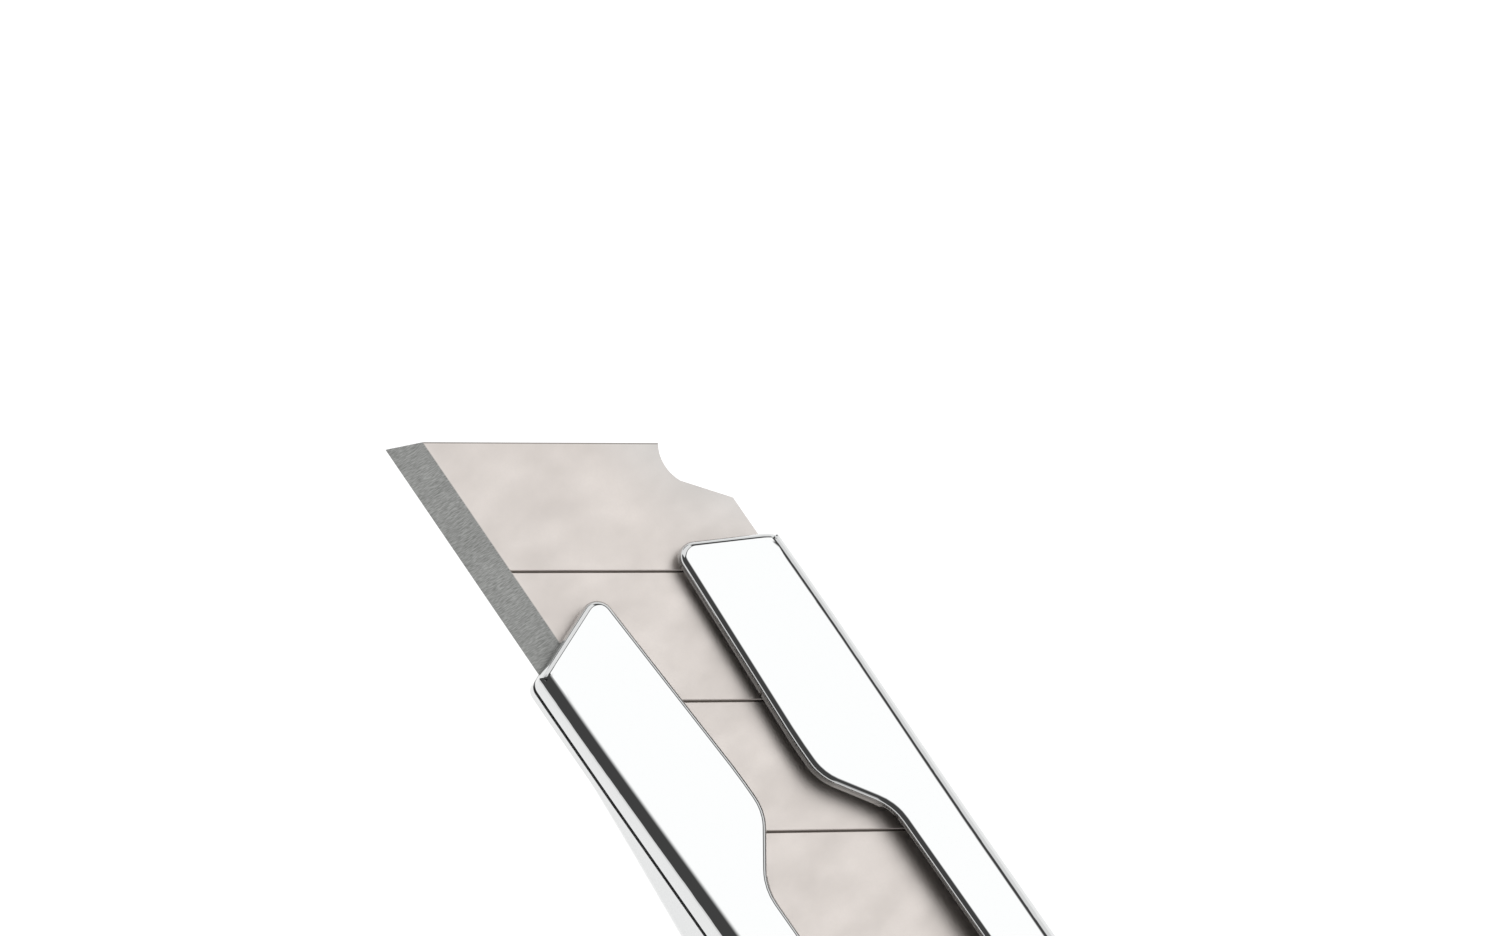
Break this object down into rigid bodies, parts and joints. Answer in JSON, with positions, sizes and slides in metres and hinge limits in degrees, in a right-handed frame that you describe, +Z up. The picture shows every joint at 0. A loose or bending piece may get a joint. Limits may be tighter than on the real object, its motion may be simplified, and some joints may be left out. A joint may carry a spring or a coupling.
{
  "type": "snap-off utility knife",
  "caption": "Snap-off utility knife with a two-shell polished metal body, a slotted nose with two lobes, a scored blade on a sliding carriage with a wheel lock, and a pull-off end cap.",
  "frame": {"origin": "centre of the bounding box on the underside, which the closed knife lies on", "axes": "+X along the knife towards the blade's point, +Y towards the cutting edge, +Z up out of the slotted front face"},
  "size_m": [0.1714, 0.026, 0.0201],
  "materials": {
    "polished_metal": "mirror-polished chrome plating on cast zinc",
    "grip_rubber": "moulded, fine matte grain",
    "screw_steel": "plain turned steel",
    "blade_steel": "satin ground carbon steel",
    "sheet_steel": "rolled stainless sheet",
    "rivet_steel": "set rivet, satin",
    "spring_steel": "tempered strip",
    "nut_brass": "turned brass",
    "black_plastic": "moulded glass-filled nylon, fine spark grain"
  },
  "bodies": {
    "body": {"front_shell": "polished_metal", "rear_shell": "polished_metal", "grip_pad_edge_side": "grip_rubber", "grip_pad_spine_side": "grip_rubber", "back_pad": "grip_rubber", "body_screws": "screw_steel", "guide_rail": "sheet_steel", "spare_blades": "blade_steel", "spare_blade_spring": "spring_steel", "blade_leaf_spring": "spring_steel", "leaf_spring_rivet": "rivet_steel"},
    "carriage": {"blade": "blade_steel", "blade_carrier": "sheet_steel", "carrier_peg": "rivet_steel", "carrier_nut": "nut_brass", "slider_saddle": "black_plastic", "spring_washer": "spring_steel"},
    "wheel": {"lock_wheel": "black_plastic", "wheel_stud": "screw_steel", "wheel_cap": "polished_metal"},
    "cap": {"end_cap": "black_plastic"}
  },
  "joints": [
    {"name": "blade_slide", "type": "slide", "parent": "body", "child": "carriage", "axis": [1, 0, 0], "range_m": [-0.0189, 0.039]},
    {"name": "wheel_turn", "type": "hinge", "parent": "carriage", "child": "wheel", "pos_m": [0.00118, 0, 0.0145], "axis": [0, 0, 1], "range_deg": [0, 150]},
    {"name": "cap_pull", "type": "slide", "parent": "body", "child": "cap", "axis": [-1, 0, 0], "range_m": [0, 0.012]}
  ]
}
